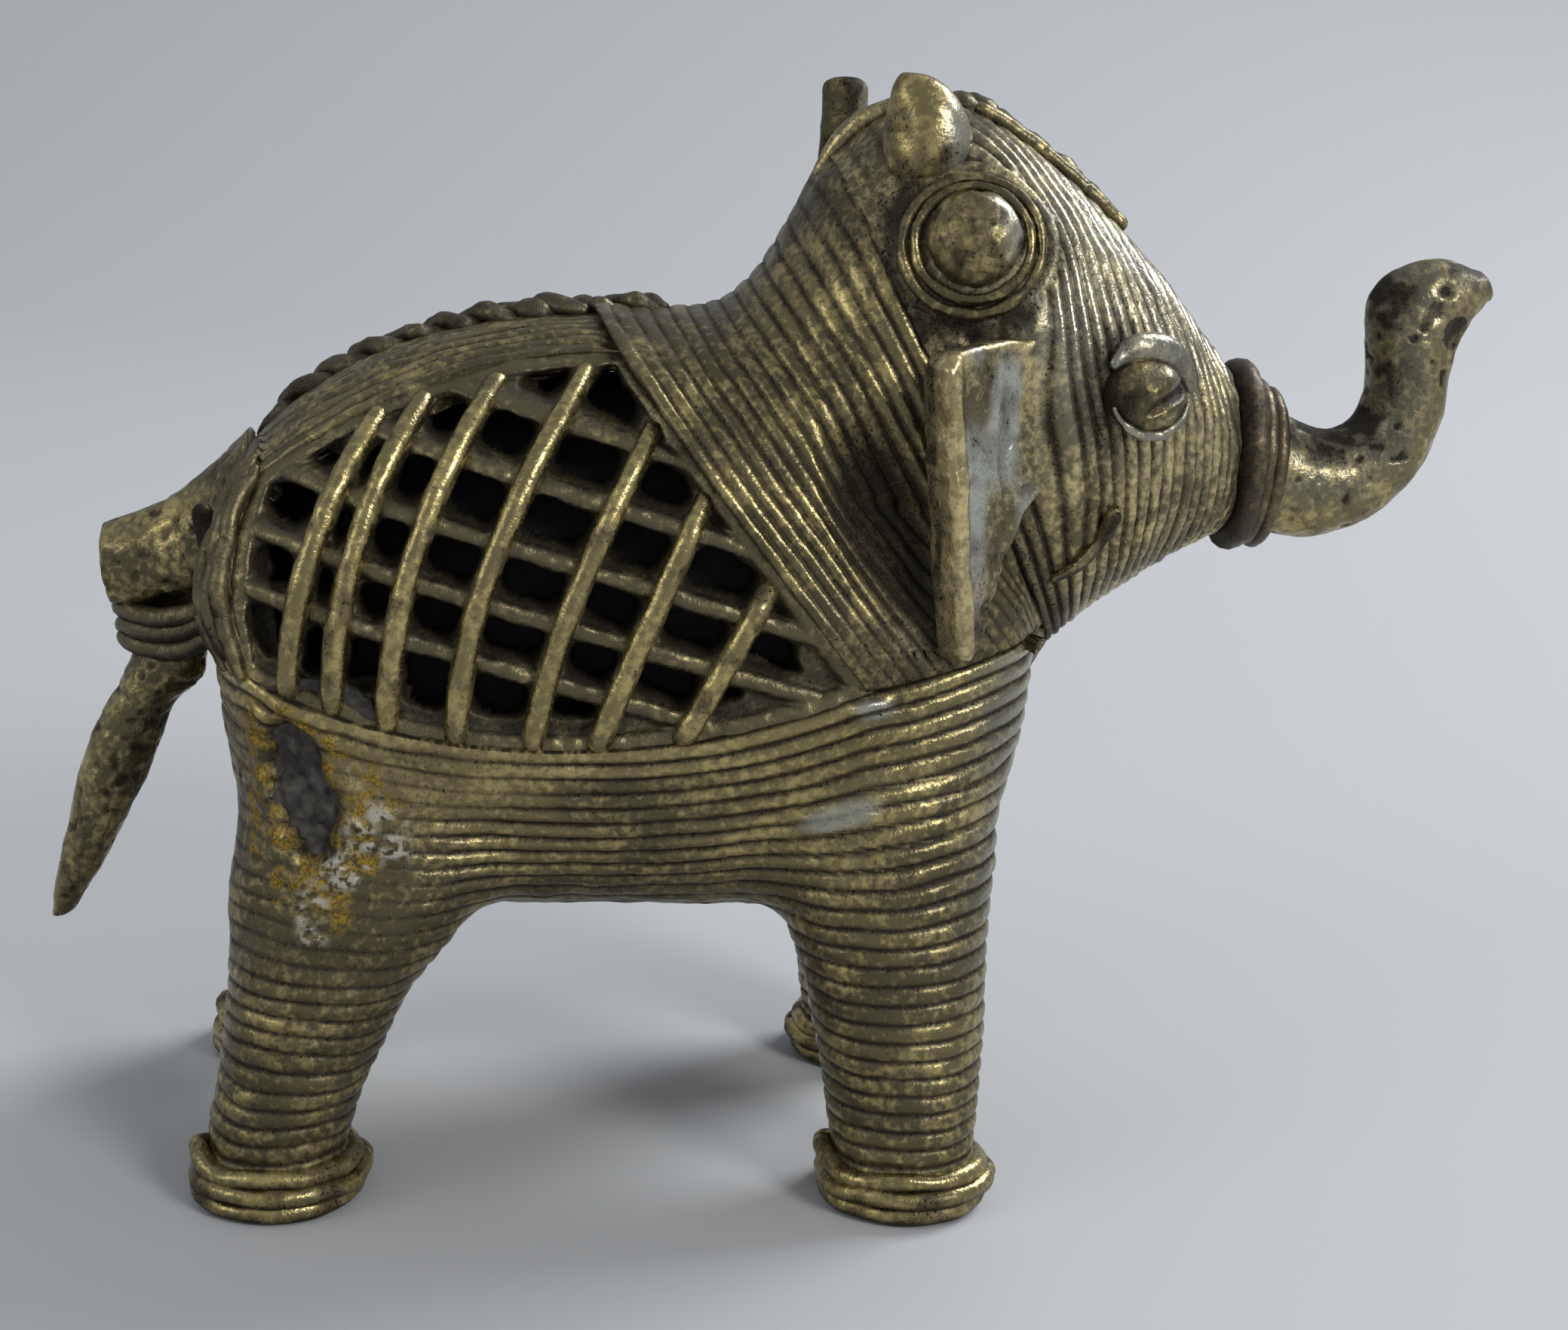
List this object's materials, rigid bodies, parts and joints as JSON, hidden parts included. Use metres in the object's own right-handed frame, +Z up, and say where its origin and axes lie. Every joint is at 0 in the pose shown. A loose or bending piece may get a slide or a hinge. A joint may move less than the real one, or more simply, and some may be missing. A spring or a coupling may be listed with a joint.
{
  "type": "openwork elephant figurine",
  "caption": "Standing elephant with a raised trunk: brass shell of laid threads over a clay core, open lattice flanks, ringed legs with foot cuffs and hanging tail.",
  "frame": {"origin": "middle of the bounding box in plan, on the plane of the soles", "axes": "+X towards the trunk along the longest side, +Y to the elephant's left, +Z up from the floor"},
  "size_m": [0.1194, 0.0462, 0.0904],
  "materials": {
    "brass": "old cast brass, olive brown patina with worn golden thread crests",
    "dark_brass": "cast brass with dark grime left between the threads",
    "bright_brass": "cast brass, rubbed golden on raised threads, pitted",
    "silver_brass": "smooth worn brass, pale and slightly pitted",
    "red_brass": "cast brass, reddish brown patina",
    "clay": "rough fired core clay, charcoal grey with ochre and white crust where it shows"
  },
  "bodies": {
    "root": {"belly_trough": "brass", "back_panel": "brass", "neck_shell": "brass", "head_shell": "brass", "tail_stub": "brass", "tail": "brass", "rump_panel": "dark_brass", "crest_braid": "dark_brass", "spine_braid": "dark_brass", "tail_wraps": "dark_brass", "right_front_leg": "brass", "right_front_leg_core": "clay", "right_front_foot_cuff": "bright_brass", "left_front_leg": "brass", "left_front_leg_core": "clay", "left_front_foot_cuff": "bright_brass", "right_rear_leg": "brass", "right_rear_leg_core": "clay", "right_rear_foot_cuff": "bright_brass", "left_rear_leg": "brass", "left_rear_leg_core": "clay", "left_rear_foot_cuff": "bright_brass", "right_grille": "dark_brass", "right_bar_1": "bright_brass", "right_bar_2": "bright_brass", "right_bar_3": "bright_brass", "right_bar_4": "bright_brass", "right_bar_5": "bright_brass", "right_bar_6": "bright_brass", "right_bar_7": "bright_brass", "right_temple_boss": "brass", "right_boss_rings": "brass", "right_eyelid": "brass", "right_crest_border": "brass", "right_eye": "silver_brass", "right_ear": "silver_brass", "right_crown_knob": "bright_brass", "left_grille": "dark_brass", "left_bar_1": "bright_brass", "left_bar_2": "bright_brass", "left_bar_3": "bright_brass", "left_bar_4": "bright_brass", "left_bar_5": "bright_brass", "left_bar_6": "bright_brass", "left_bar_7": "bright_brass", "left_temple_boss": "brass", "left_boss_rings": "brass", "left_eyelid": "brass", "left_crest_border": "brass", "left_eye": "silver_brass", "left_ear": "silver_brass", "left_crown_knob": "bright_brass", "head_core": "clay", "body_core": "clay", "trunk": "bright_brass", "trunk_collar": "red_brass"}
  },
  "joints": []
}
